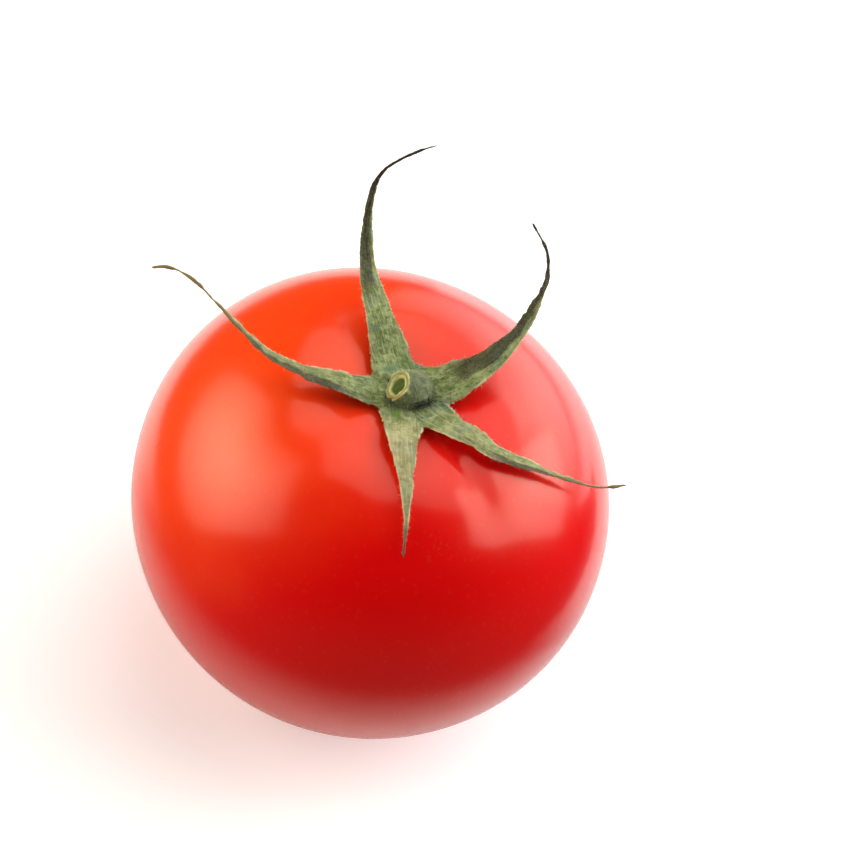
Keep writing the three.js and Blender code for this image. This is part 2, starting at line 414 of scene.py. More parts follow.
# %% [markdown]
# The wax has an IOR near 1.45. It is smooth but not quite even, so the skin shows clear reflections
# with soft edges. That is a clear coat over a rougher base, with scattering below, broad swells of
# 9 mm that bend the reflections, and pores of half a millimetre that blur them. The base reflects
# a warm tint, so the highlights turn orange and pink as they do on the real skin.

# %% Make the skin material
def tomato_skin():
    """Waxy cuticle over red flesh: a clear coat, a softer base, scattering and very shallow bumps."""
    material, tree, place = new_material("tomato_skin")
    red = with_cork(tree, place, with_flecks(tree, place, lit_and_sunny_red(tree, place)))
    swells = add_node(tree, "ShaderNodeTexNoise", {"Vector": place, "Scale": per_mm(9.0), "Detail": 1.0})
    swells = add_node(tree, "ShaderNodeBump", {"Height": swells, "Distance": 0.05 * MM})
    pores = add_node(tree, "ShaderNodeTexNoise", {"Vector": place, "Scale": per_mm(0.45)})
    pores = {"Height": pores, "Distance": 0.004 * MM, "Normal": swells}
    shader = add_node(tree, "ShaderNodeBsdfPrincipled", {
        "Base Color": red, "Roughness": 0.27, "IOR": 1.45,
        "Specular Tint": colour("#ffd9a0"),
        "Subsurface Weight": 0.6, "Subsurface Radius": (1.0, 0.22, 0.12), "Subsurface Scale": 2.8 * MM,
        "Coat Weight": 0.5, "Coat Roughness": 0.14, "Coat IOR": 1.45,
        "Normal": add_node(tree, "ShaderNodeBump", pores),
    })
    add_node(tree, "ShaderNodeOutputMaterial", {"Surface": shader})
    return material


girth = np.hypot(spots[:, 0], spots[:, 1])
underside = spots[:, 2] < EQUATOR_HEIGHT
add_attribute(fruit, "scar", np.where(underside, 1.0 - smooth_step(0.8, 1.9, girth), 0.0))
fruit.data.materials.append(tomato_skin())
print("skin nodes:", len(fruit.active_material.node_tree.nodes))

# %% [markdown]
# ## The calyx
#
# The calyx grew as one piece. Each sepal is a blade: a thin lens-shaped section, with a rib along
# its upper face and slightly raised edges, carried along a route from the hub to the tip. The
# routes and widths are those of the solid, so the blades stay where the frame has them. A smooth
# curve through the points is resampled at even steps, and a frame of two directions is carried
# along it without a sudden turn.

# %% Run a smooth curve through points
DENSE_STEPS = 40


def smooth_route(points, steps):
    """Centripetal Catmull-Rom curve through the points, resampled at even steps of its length."""
    points = np.array(points, float)
    padded = np.vstack([2 * points[0] - points[1], points, 2 * points[-1] - points[-2]])
    spans = np.sqrt(np.linalg.norm(np.diff(padded, axis=0), axis=1))[:, None]
    slopes = np.diff(padded, axis=0) / spans
    meet = (slopes[:-1] * spans[1:] + slopes[1:] * spans[:-1]) / (spans[:-1] + spans[1:])
    share = np.linspace(0.0, 1.0, DENSE_STEPS, endpoint=False)[None, :, None]
    start, end, width = points[:-1, None], points[1:, None], spans[1:-1, None]
    square, cube = share**2, share**3
    curve = start * (2 * cube - 3 * square + 1) + end * (3 * square - 2 * cube)
    leaving, arriving = meet[:-1, None], meet[1:, None]
    curve = curve + width * (leaving * (cube - 2 * square + share) + arriving * (cube - square))
    dense = np.vstack([curve.reshape(-1, 3), points[-1]])
    walked = np.concatenate([[0.0], np.cumsum(np.linalg.norm(np.diff(dense, axis=0), axis=1))])
    even = np.linspace(0.0, walked[-1], steps + 1)
    return np.stack([np.interp(even, walked, dense[:, axis]) for axis in range(3)], 1)


print("points of a straight route:", smooth_route([(0, 0, 0), (1, 0, 0), (3, 0, 0)], 3)[:, 0].round(2))

# %% Carry directions along the curve
CLEARING_EASE = 0.5


def carried_frames(points):
    """Side and up directions at each point; up starts as +Z and is only turned as the route bends."""
    ahead = unit(np.gradient(points, axis=0))
    ups = np.zeros_like(points)
    up = np.array([0.0, 0.0, 1.0])
    for i, direction in enumerate(ahead):
        up = unit(up - direction * (up @ direction))
        ups[i] = up
    return np.cross(ahead, ups), ups


def clear_of_skin(points, lift):
    """Raises points smoothly so that none comes nearer to the skin than the lift."""
    distance = np.hypot(points[:, 0], points[:, 1])
    lowest = crown_height(distance, np.arctan2(points[:, 1], points[:, 0])) + lift
    spare = points[:, 2] - lowest
    raised = points.copy()
    raised[:, 2] = lowest + (spare + np.hypot(spare, CLEARING_EASE)) / 2.0
    return raised


print("directions start from straight up, and routes stay outside the skin")

# %% [markdown]
# A real sepal is about 0.4 mm thick, thinner at its edges and tip, and never quite flat: the edges
# wave and roll a little, and a drying sepal folds along its rib. Its outline is a broad body that
# runs out into a thin tail. These are small named values for each one. The last ones are about
# colour: where the tip begins to dry, how much of it turns to straw instead of dark brown, how pale
# the blade has become, and which half of it is painted dark brown as the shade on one side of its
# fold.

# %% Describe the five sepals
SEPALS = {
    "back_left": {
        "route": [(0, 0, 58.2), (-3.1, 3.8, 59), (-6, 8.1, 61.2), (-9.3, 13, 62.8),
                  (-11.8, 17.7, 65.2), (-13.2, 21.6, 70), (-13.2, 23.2, 74.8), (-11.4, 24, 78.3),
                  (-8.8, 25.4, 80.3), (-6.2, 27.3, 81)],
        "width": 7.2, "taper": 2.1, "tail": 1.2, "fold": 0.22, "twist": -35,
        "dry_from": 0.55, "straw": 0.0, "pale": 0.1,
        "shaded_side": -1, "shade_edge": -0.6, "shade_from": 0.33,
    },
    "back_right": {
        "route": [(0, 0, 58.2), (4.6, 2.3, 59), (7.8, 4.4, 61), (10.5, 7.1, 63),
                  (12.6, 10.3, 65.2), (14, 14, 68.8), (14.3, 16.8, 72.6), (13.1, 18.6, 76),
                  (9.6, 20.4, 79.2)],
        "width": 8.8, "taper": 1.9, "tail": 1.1, "fold": 0.26, "twist": 25,
        "dry_from": 0.52, "straw": 0.0, "pale": 0.0,
        "shaded_side": -1, "shade_edge": -0.35, "shade_from": 0.18,
    },
    "front_right": {
        "route": [(0, 0, 58.2), (5.5, -3.6, 59.8), (8.3, -5, 60.8), (11.2, -5.8, 61.1),
                  (14, -6.6, 60.6), (18.1, -6.1, 59.4), (22.3, -4.9, 57.7), (26.5, -3.3, 55.5),
                  (30.8, -1, 52.9), (35, 1.6, 52.2)],
        "width": 7, "taper": 1.8, "tail": 0.5, "fold": 0.2, "twist": 25,
        "dry_from": 0.62, "straw": 0.75, "pale": 0.3,
        "shaded_side": 1, "shade_edge": 0.1, "shade_from": 0.3,
    },
    "front": {
        "route": [(0, 0, 58.2), (0.7, -4.9, 59), (2, -10.4, 60.9), (3.5, -14.7, 60.6),
                  (4.8, -18.3, 59.3), (5.9, -21.5, 57.4), (6.8, -24.9, 55.3)],
        "width": 9, "taper": 1.5, "tail": 0.3, "fold": 0.12, "twist": 0,
        "dry_from": 0.76, "straw": 0.1, "pale": 0.7,
        "shaded_side": 1, "shade_edge": 0.0, "shade_from": 2.0,
    },
    "left": {
        "route": [(0, 0, 58.2), (-4.6, -2.2, 59.2), (-8.4, -3.7, 61), (-12.6, -4.5, 61.9),
                  (-16.4, -4.6, 62.5), (-20.5, -3.3, 62.2), (-25, -0.5, 62), (-29.6, 2.4, 62.2),
                  (-34, 4.6, 62.9), (-37.5, 5.2, 63), (-40.2, 4.7, 62.2)],
        "width": 7, "taper": 2.4, "tail": 0.5, "fold": 0.2, "twist": -15,
        "dry_from": 0.55, "straw": 0.85, "pale": 0.3,
        "shaded_side": -1, "shade_edge": 0.1, "shade_from": 0.1,
    },
}
print("sepals:", list(SEPALS))

# %% [markdown]
# The blade's section is a lens with a round rib on top. The same array of angles goes round every
# ring, so the whole blade is one formula of two parameters: how far along, and how far round.

# %% Sweep the blades
SEPAL_STEPS = 150
SEPAL_AROUND = 48
SEPAL_LIFT = 0.75
SEPAL_THICKNESS = 0.58
SEPAL_TIP_WIDTH = 0.4
SEPAL_FLAT_ROOT = 0.25
SEPAL_ENDS = 40.0
RIB_RISE = 0.25
RIB_WIDTH = 0.4
EDGE_WAVE = 0.28


def sepal_half_width(shape, along):
    """Half the blade's width: a power curve for its body plus a square root for its drawn-out tail."""
    left = 1.0 - along
    width = shape["width"] * left ** shape["taper"] + shape["tail"] * np.sqrt(left)
    return np.maximum(width, SEPAL_TIP_WIDTH) / 2.0


def make_sepal(name, shape, number):
    """A lens section with a rib on top and raised, waving edges, swept along the route and twisted."""
    middle = clear_of_skin(smooth_route(shape["route"], SEPAL_STEPS), SEPAL_LIFT)
    side, up = carried_frames(middle)
    along = np.linspace(0.0, 1.0, SEPAL_STEPS + 1)[:, None]
    turn = np.linspace(0.0, 2.0 * math.pi, SEPAL_AROUND, endpoint=False)[None, :]
    closed = np.sqrt(np.clip(SEPAL_ENDS * np.minimum(along, 1.0 - along), 0.0, 1.0))
    half = closed * sepal_half_width(shape, along)
    ripple = np.sin(2.0 * math.pi * (5.3 * along + 0.37 * number) + 2.1 * np.sign(np.cos(turn)))
    out = half * np.cos(turn) * (1.0 + 0.05 * ripple * (1.0 - along))
    thickness = SEPAL_THICKNESS * (1.0 - 0.35 * along)
    lens = closed * thickness / 2.0 * np.sin(turn) * (1.0 - 0.35 * np.abs(np.cos(turn)))
    rib = RIB_RISE * bell(out, RIB_WIDTH) * (1.0 - along) * np.clip(np.sin(turn), 0.0, 1.0)
    set_in = np.clip(along / SEPAL_FLAT_ROOT, 0.0, 1.0)
    fold = shape["fold"] * np.abs(out) * set_in
    wave = EDGE_WAVE * set_in * (1.0 - along) * (out / (half + 0.2)) ** 2 * ripple
    rise = lens + closed * rib + fold + wave
    twist = math.radians(shape["twist"]) * along**2
    across = out * np.cos(twist) - rise * np.sin(twist)
    above = out * np.sin(twist) + rise * np.cos(twist)
    rings = middle[:, None] + side[:, None] * across[..., None] + up[:, None] * above[..., None]
    return closed_mesh("sepal_" + name, middle[0], rings[1:-1], middle[-1])


sepals = [make_sepal(name, shape, number) for number, (name, shape) in enumerate(SEPALS.items())]
print("triangles in each blade:", 2 * SEPAL_AROUND * (SEPAL_STEPS - 1))

# %% [markdown]
# The stub of the stalk rises from the hub, thickens at its knuckle, bends over and ends in a cut.
# The cut has dried: its rim stands out and the pith inside has sunk. The rings past the end of the
# route make that rim and hollow, as shares of the radius and depths in mm, so the cut is a real
# shape and not a painted one.

# %% Build the stub
STUB_ROUTE = [(1.1, 0.5, 58.0), (1.2, 0.5, 59.4), (1, 0, 60.3), (-0.2, -1.2, 61.1), (-1.3, -1.6, 62)]
STUB_RADIUS = 2.1
STUB_STEPS = 40
STUB_AROUND = 72
KNUCKLE_SWELLING = 0.26
KNUCKLE_PLACE = 0.55
KNUCKLE_LENGTH = 0.3
CUT_RINGS = [
    (1.12, 0.0), (1.06, -0.12), (0.94, -0.06), (0.82, 0.0),
    (0.72, -0.06), (0.62, 0.15), (0.5, 0.45), (0.25, 0.5),
]

stub_middle = smooth_route(STUB_ROUTE, STUB_STEPS)
stub_side, stub_up = carried_frames(stub_middle)
cut_direction = np.cross(stub_up[-1], stub_side[-1])


def make_stub():
    """A round section with shallow ribs, swollen at the knuckle, then the rings of the cut."""
    along = np.linspace(0.0, 1.0, STUB_STEPS + 1)
    turn = np.linspace(0.0, 2.0 * math.pi, STUB_AROUND, endpoint=False)
    swelling = 1.0 + KNUCKLE_SWELLING * bell(along - KNUCKLE_PLACE, KNUCKLE_LENGTH)
    ribs = 1.0 + 0.03 * np.cos(7.0 * turn + 1.0) + 0.02 * np.cos(11.0 * turn)
    radius = STUB_RADIUS * swelling[:, None] * ribs[None, :]
    cut_share, cut_depth = np.array(CUT_RINGS).T
    uneven = 1.0 + 0.05 * np.cos(2.0 * turn + 0.6) + 0.04 * np.cos(5.0 * turn)
    radius = np.vstack([radius, STUB_RADIUS * cut_share[:, None] * (ribs * uneven)[None, :]])
    depth = np.concatenate([np.zeros(STUB_STEPS + 1), cut_depth])
    pick = np.concatenate([np.arange(STUB_STEPS + 1), np.full(len(CUT_RINGS), STUB_STEPS)])
    ragged = 0.1 * np.sin(4.0 * turn + 0.8) * (depth != 0.0)[:, None]
    middle = stub_middle[pick][:, None] - cut_direction * (depth[:, None] + ragged)[..., None]
    around = stub_side[pick][:, None] * np.cos(turn)[None, :, None]
    around = around + stub_up[pick][:, None] * np.sin(turn)[None, :, None]
    rings = middle + around * radius[..., None]
    return closed_mesh("stub", stub_middle[0], rings, stub_middle[-1] - cut_direction * CUT_RINGS[-1][1])


stub = make_stub()
print("cut looks towards:", cut_direction.round(2))

# %% [markdown]
# The hub is the low mound on which everything meets. It follows the floor of the stem cavity, and
# a narrow groove runs round the foot of the stub, where the real one is darkest.

# %% Build the hub
HUB_RADIUS = 5.4
HUB_TOP = 1.4
HUB_EDGE = 0.75
HUB_ROOT = 0.25
GROOVE_RADIUS = 3.1
GROOVE_WIDTH = 0.55
GROOVE_DEPTH = 0.7


def make_hub():
    """The skin's height plus a lens, less a ring-shaped groove; its root is just under the skin."""
    polar = np.linspace(0.0, math.pi, 60)[:, None]
    turn = np.linspace(0.0, 2.0 * math.pi, 120, endpoint=False)[None, :]
    distance = HUB_RADIUS * np.sin(polar)
    x, y = distance * np.cos(turn), distance * np.sin(turn)
    skin = crown_height(distance, turn + 0.0 * polar)
    above = HUB_EDGE + (HUB_TOP - HUB_EDGE) * np.abs(np.cos(polar))
    from_stub = np.hypot(x - STUB_ROUTE[1][0], y - STUB_ROUTE[1][1])
    above = above - GROOVE_DEPTH * bell(from_stub - GROOVE_RADIUS, GROOVE_WIDTH)
    below = HUB_EDGE - (HUB_EDGE + HUB_ROOT) * np.abs(np.cos(polar))
    grid = np.stack([x, y, skin + np.where(polar < math.pi / 2.0, above, below)], -1)
    return closed_mesh("hub", grid[0, 0], grid[1:-1], grid[-1, 0])


hub = make_hub()
print("hub points:", len(hub.data.vertices))

# %% [markdown]
# Blades, hub and stub still cut through each other, and a grown thing has no such seams. A voxel
# remesh takes the outer skin of them all as one body. A few rounds of smoothing near the middle
# then melt the roots into the hub, while the tips and the foot of the stub stay crisp. Last, the
# whole surface is pushed in and out by lumps of two sizes, for the wrinkles of the tissue.

# %% Join meshes and apply modifiers
def joined(pieces, name):
    """One object that holds the meshes of all the pieces."""
    points, faces, count = [], [], 0
    for piece in pieces:
        points.append(mesh_points(piece))
        faces += [[count + v for v in face.vertices] for face in piece.data.polygons]
        count += len(points[-1])
        bpy.data.objects.remove(piece)
    mesh = bpy.data.meshes.new(name)
    mesh.from_pydata((np.vstack(points) * MM).tolist(), [], faces)
    whole = bpy.data.objects.new(name, mesh)
    bpy.context.scene.collection.objects.link(whole)
    return whole


def apply_modifiers(piece):
    """Replaces the object's mesh by what its modifiers make of it."""
    graph = bpy.context.evaluated_depsgraph_get()
    mesh = bpy.data.meshes.new_from_object(piece.evaluated_get(graph))
    piece.modifiers.clear()
    piece.data = mesh
    mesh.polygons.foreach_set("use_smooth", np.ones(len(mesh.polygons), bool))


print("pieces to join:", len(sepals) + 2)

# %% Fuse the pieces into one skin
VOXEL = 0.15
MELT_RADIUS = 9.0
MELT_ROUNDS = 6
EVEN_ROUNDS = 2
CRISP_ROUND_STUB = (3.0, 4.0)
WEIGHT_LEVELS = 10


def fused(pieces, name):
    """Remeshes the pieces as one body and melts its roots together."""
    whole = joined(pieces, name)
    remesh = whole.modifiers.new("one_skin", "REMESH")
    remesh.mode = "VOXEL"
    remesh.voxel_size = VOXEL * MM
    apply_modifiers(whole)
    spots = mesh_points(whole)
    far = np.hypot(spots[:, 0], spots[:, 1])
    to_stub = np.linalg.norm(spots[:, None] - stub_middle[None, ::4], axis=2).min(axis=1)
    melt = 1.0 - smooth_step(MELT_RADIUS * 0.5, MELT_RADIUS, far)
    melt = melt * smooth_step(*CRISP_ROUND_STUB, to_stub)
    group = whole.vertex_groups.new(name="roots")
    for level in range(1, WEIGHT_LEVELS + 1):
        chosen = np.flatnonzero(np.round(melt * WEIGHT_LEVELS).astype(int) == level)
        group.add(chosen.tolist(), level / WEIGHT_LEVELS, "REPLACE")
    smooth = whole.modifiers.new("melt", "SMOOTH")
    smooth.vertex_group = "roots"
    smooth.iterations = MELT_ROUNDS
    even = whole.modifiers.new("even", "SMOOTH")
    even.iterations = EVEN_ROUNDS
    apply_modifiers(whole)
    return whole


calyx = fused([*sepals, stub, hub], "tomato_calyx")
print("calyx points:", len(calyx.data.vertices))

# %% Wrinkle the tissue
WRINKLES = [(1.5, 0.13, 21), (0.6, 0.08, 22)]


def mesh_normals(piece):
    """The outward direction at each point of the mesh."""
    flat = np.zeros(len(piece.data.vertices) * 3, np.float32)
    piece.data.vertices.foreach_get("normal", flat)
    return flat.reshape(-1, 3).astype(float)


spots = mesh_points(calyx)
push = sum(depth * lumps(spots, size, seed) for size, depth, seed in WRINKLES)
spots = spots + push[:, None] * mesh_normals(calyx)
calyx.data.vertices.foreach_set("co", (spots * MM).astype(np.float32).ravel())
calyx.data.update()
print("largest push in mm:", round(float(np.abs(push).max()), 2))

# %% [markdown]
# The remesh has forgotten which point belongs to which sepal, so each point looks for the nearest
# spot on the five routes. That tells how far along its sepal it is and how far from the rib, which
# is what the colour follows: mottled grey-green at the root, pale edges, one half painted darker as
# the shade of its fold, and tips that have dried dark brown on three sepals and straw-coloured on two.

# %% Find each point's place on its sepal
ROUTE_STEPS = 120


def place_on_sepals(spots):
    """For each point the nearest sepal, the share of its length, and the mm along it and from its rib."""
    best = np.full(len(spots), np.inf)
    which, along, walked, across = (np.zeros(len(spots)) for _ in range(4))
    for number, shape in enumerate(SEPALS.values()):
        middle = clear_of_skin(smooth_route(shape["route"], ROUTE_STEPS), SEPAL_LIFT)
        side, up = carried_frames(middle)
        twist = math.radians(shape["twist"]) * np.linspace(0.0, 1.0, ROUTE_STEPS + 1)[:, None] ** 2
        side = side * np.cos(twist) + up * np.sin(twist)
        ahead = unit(np.gradient(middle, axis=0))
        length = np.linalg.norm(np.diff(middle, axis=0), axis=1).sum()
        gap = np.linalg.norm(spots[:, None] - middle[None], axis=2)
        nearest = gap.argmin(axis=1)
        gap = gap[np.arange(len(spots)), nearest]
        offset = spots - middle[nearest]
        closer = gap < best
        best = np.where(closer, gap, best)
        which = np.where(closer, number, which)
        along = np.where(closer, nearest / ROUTE_STEPS, along)
        passed = nearest / ROUTE_STEPS * length + (offset * ahead[nearest]).sum(1)
        walked = np.where(closer, passed, walked)
        across = np.where(closer, (offset * side[nearest]).sum(1), across)
    return which.astype(int), along, walked, across


which, along, walked, across = place_on_sepals(spots)
shapes = list(SEPALS.values())
half_width = np.select([which == n for n in range(5)], [sepal_half_width(s, along) for s in shapes])
share_across = np.clip(np.abs(across) / half_width, 0.0, 1.0)
print("points on each sepal:", np.bincount(which))

# %% [markdown]
# The stub and its cut are found by their distance from the stub's own middle line. The cut reaches a
# millimetre down inside its rim. Round the foot of the stub a ring of painted shade darkens the
# crevice, darkest on the side that faces the viewer.

# %% Find the stub and its cut
STUB_EDGE = (2.7, 3.0)
CUT_REACH = 3.2
CUT_EDGE = (2.25, 2.45)
CUT_HOLLOW_EDGE = (1.7, 1.9)
RIM_LINES = [(1.5, 0.22), (2.25, 0.2)]
CREVICE_SHADE_RADIUS = 2.9
CREVICE_SHADE_WIDTH = 0.95
CREVICE_SHADE_TOP = 61.1

to_stub = np.linalg.norm(spots[:, None] - stub_middle[None], axis=2).min(axis=1)
on_stub = 1.0 - smooth_step(*STUB_EDGE, to_stub)
on_blade = 1.0 - on_stub
from_cut = spots - stub_middle[-1]
before_cut = from_cut @ cut_direction
cut_out = np.linalg.norm(from_cut - np.outer(before_cut, cut_direction), axis=1)
in_hollow = 1.0 - smooth_step(*CUT_HOLLOW_EDGE, cut_out)
on_cut = smooth_step(-1.0, -0.75, before_cut) * np.maximum(smooth_step(-0.3, 0.0, before_cut), in_hollow)
on_cut = on_cut * (1.0 - smooth_step(*CUT_EDGE, cut_out)) * (to_stub < CUT_REACH)
rim_lines = sum(bell(cut_out - radius, width) for radius, width in RIM_LINES)
foot = np.hypot(spots[:, 0] - STUB_ROUTE[1][0], spots[:, 1] - STUB_ROUTE[1][1])
# painted shade: a near-black ring round the foot of the stub, strongest towards the front
crevice_shade = bell(foot - CREVICE_SHADE_RADIUS, CREVICE_SHADE_WIDTH) * (spots[:, 2] < CREVICE_SHADE_TOP)
crevice_shade = crevice_shade * smooth_step(1.5, -1.0, spots[:, 1])
print("points on the stub:", int((on_stub > 0.5).sum()), "on the cut:", int((on_cut > 0.5).sum()))

# %% [markdown]
# Each colour gets a number from 0 to 1 at every point, worked out from those places. Soft lumps make
# the borders ragged, because tissue dries in patches, and they make the painted shade on one half of
# each blade ragged too. The grain is a place as well, in which a step across the blade counts far
# more than one along it, so noise on it turns into lines.

# %% Work out the dry, shade-painted and faded parts
DRYING_LENGTH = 0.25
DRY_BY = 0.97
HALF_SHADE_ONSET = 0.12
MARGIN_WIDTH = 0.45

dry_from, straw, pale, shaded_side, shade_edge, shade_from = (
    np.array([shape[name] for shape in shapes])[which]
    for name in ("dry_from", "straw", "pale", "shaded_side", "shade_edge", "shade_from")
)
along_ragged = along + 0.07 * lumps(spots, 2.0, 11)
dry = smooth_step(dry_from, np.minimum(dry_from + DRYING_LENGTH, DRY_BY), along_ragged) * on_blade
# painted shade: one half of each blade turns dark brown from partway along, as the shade on one side of its
# fold
sideways = across / half_width * shaded_side - shade_edge + 0.2 * lumps(spots, 1.2, 12)
shaded_half = smooth_step(shade_from, shade_from + HALF_SHADE_ONSET, along_ragged)
shaded_half = shaded_half * smooth_step(0.0, 0.3, sideways)
margin = smooth_step(0.1, 0.3, np.abs(across) - half_width + MARGIN_WIDTH)
faded = pale * smooth_step(0.1, 0.35, along_ragged) * (0.75 + 0.4 * lumps(spots, 0.8, 13)) * on_blade
print("share that is dry:", round(float(dry.mean()), 2), "bruised:", round(float(shaded_half.mean()), 2))

# %% Store where each colour goes
FRESH_PLACE = (-0.3, -4.6)
FRESH_EDGE = (0.3, 1.0)
PITH_EDGE = (1.1, 1.35)
GRAIN_ACROSS = 0.3
GRAIN_ALONG = 4.0
GRAIN_SHIFT = 9.0

from_fresh = np.hypot(spots[:, 0] - FRESH_PLACE[0], spots[:, 1] - FRESH_PLACE[1])
from_fresh = from_fresh + 0.3 * lumps(spots, 0.6, 15)
places = {
    "faded": np.clip(faded, 0.0, 1.0),
    "straw_tip": dry * straw,
    "dark_tip": dry * (1.0 - straw),
    "shaded_half": shaded_half * on_blade,
    "edge": margin * on_blade * smooth_step(0.1, 0.2, along),
    "stub": on_stub * np.clip(0.75 + 0.5 * lumps(spots, 0.7, 14), 0.0, 1.0),
    "crevice_shade": crevice_shade,
    "cut_face": on_cut,
    "cut_rim": np.clip(on_cut * rim_lines, 0.0, 1.0),
    "cut_pith": on_cut * (1.0 - smooth_step(*PITH_EDGE, cut_out)),
    "cut_tan": on_cut * smooth_step(1.0, 1.9, from_cut @ -picture_up),
    "fresh_spot": 1.0 - smooth_step(*FRESH_EDGE, from_fresh),
}
for name, values in places.items():
    add_attribute(calyx, name, values)
grain = np.stack([across / GRAIN_ACROSS, walked / GRAIN_ALONG, GRAIN_SHIFT * which], 1)
grain_attribute = calyx.data.attributes.new("grain", "FLOAT_VECTOR", "POINT")
grain_attribute.data.foreach_set("vector", grain.astype(np.float32).ravel())
print("places stored:", list(places))

# %% [markdown]
# ## Sepal tissue
#
# The green parts are matt: a fine felt of hairs scatters the light, so there is hardly any clear
# reflection. The colours could be one noise, but real tissue has three kinds of pattern: patches of
# one to two millimetres, fine pale lines along each blade, and dark specks. Over them come the dried
# and cut parts and the painted shade, on one half of each blade and round the stub's foot, listed
# once in the order in which they cover each other.

# %% List the colours of the calyx
GREEN = "#5e6f36"
GREEN_PALE = "#939f69"
GREEN_DARK = "#33401f"
GREEN_BLUE = "#557562"
LINE_PALE = "#aeac80"
MARGIN_PALE = "#d2c69c"
FADED = "#c0ac84"
# dark brown of the painted shade on one half of a blade
HALF_SHADE = "#30271a"
STUB_GREY = "#5a5e54"
# near-black colour of the painted shade round the stub's foot
CREVICE_SHADE = "#0e100a"
DRY_DARK = "#2c241d"
DRY_STRAW = "#8f7648"
CUT_FACE = "#7c7f3c"
CUT_RIM = "#c4c28a"
CUT_PITH = "#46591a"
CUT_TAN = "#8a6420"
FRESH_SPOT = "#5b7c14"
LAYERS = [
    ("faded", 0.75, FADED),
    ("edge", 0.75, MARGIN_PALE),
    # painted shade on one half of each blade
    ("shaded_half", 0.8, HALF_SHADE),
    ("stub", 0.65, STUB_GREY),
    # painted shade round the stub's foot
    ("crevice_shade", 0.95, CREVICE_SHADE),
    ("straw_tip", 0.9, DRY_STRAW),
    ("dark_tip", 0.95, DRY_DARK),
    ("cut_face", 1.0, CUT_FACE),
    ("cut_rim", 0.85, CUT_RIM),
    ("cut_pith", 1.0, CUT_PITH),
    ("cut_tan", 0.65, CUT_TAN),
    ("fresh_spot", 0.7, FRESH_SPOT),
]
print("layers over the green:", len(LAYERS))

# %% Mix the green tissue
def mottled_green(tree, place):
    """Two greens in patches of 1.5 mm, with cool clouds of 3 mm over them."""
    patches = {"Vector": place, "Scale": per_mm(1.5), "Detail": 4.0, "Roughness": 0.65}
    patches = {"Value": add_node(tree, "ShaderNodeTexNoise", patches), "From Min": 0.4, "From Max": 0.62}
    patches = add_node(tree, "ShaderNodeMapRange", patches, **EASED)
    tone = {"Factor": patches, "A": colour(GREEN), "B": colour(GREEN_PALE)}
    tone = add_node(tree, "ShaderNodeMix", tone, **COLOURS)
    cool = {"Vector": place, "Scale": per_mm(3.2), "Detail": 2.0}
    cool = {"Value": add_node(tree, "ShaderNodeTexNoise", cool), "From Min": 0.5, "From Max": 0.65}
    cool = add_node(tree, "ShaderNodeMapRange", {**cool, "To Max": 0.55}, **EASED)
    return add_node(tree, "ShaderNodeMix", {"Factor": cool, "A": tone, "B": colour(GREEN_BLUE)}, **COLOURS)


def with_lines_and_specks(tree, place, tone):
    """Pale lines along the blade, from noise on the grain, and dark specks of half a millimetre."""
    grain = add_node(tree, "ShaderNodeAttribute", attribute_name="grain").outputs["Vector"]
    lines = {"Vector": grain, "Scale": 1.0, "Detail": 2.0}
    lines = {"Value": add_node(tree, "ShaderNodeTexNoise", lines), "From Min": 0.5, "From Max": 0.68}
    lines = add_node(tree, "ShaderNodeMapRange", {**lines, "To Max": 0.6}, **EASED)
    tone = add_node(tree, "ShaderNodeMix", {"Factor": lines, "A": tone, "B": colour(LINE_PALE)}, **COLOURS)
    specks = {"Vector": place, "Scale": per_mm(0.6), "Detail": 3.0, "Roughness": 0.6}
    specks = {"Value": add_node(tree, "ShaderNodeTexNoise", specks), "From Min": 0.52, "From Max": 0.66}
    specks = add_node(tree, "ShaderNodeMapRange", {**specks, "To Max": 0.55}, **EASED)
    return add_node(tree, "ShaderNodeMix", {"Factor": specks, "A": tone, "B": colour(GREEN_DARK)}, **COLOURS)


def with_layers(tree, tone):
    """Each layer's colour, mixed in by its attribute times its strength."""
    for name, strength, hue in LAYERS:
        share = add_node(tree, "ShaderNodeAttribute", attribute_name=name).outputs["Fac"]
        share = add_node(tree, "ShaderNodeMath", {0: share, 1: strength}, operation="MULTIPLY")
        tone = add_node(tree, "ShaderNodeMix", {"Factor": share, "A": tone, "B": colour(hue)}, **COLOURS)
    return tone


print("greens:", GREEN, GREEN_PALE, GREEN_DARK, GREEN_BLUE)

# %% [markdown]
# Sheen gives the pale bloom of the felt, and a little light passes through the thin blades. Two
# bumps make the surface rough: ridges along the grain, and a felt of lumps of 0.4 mm.

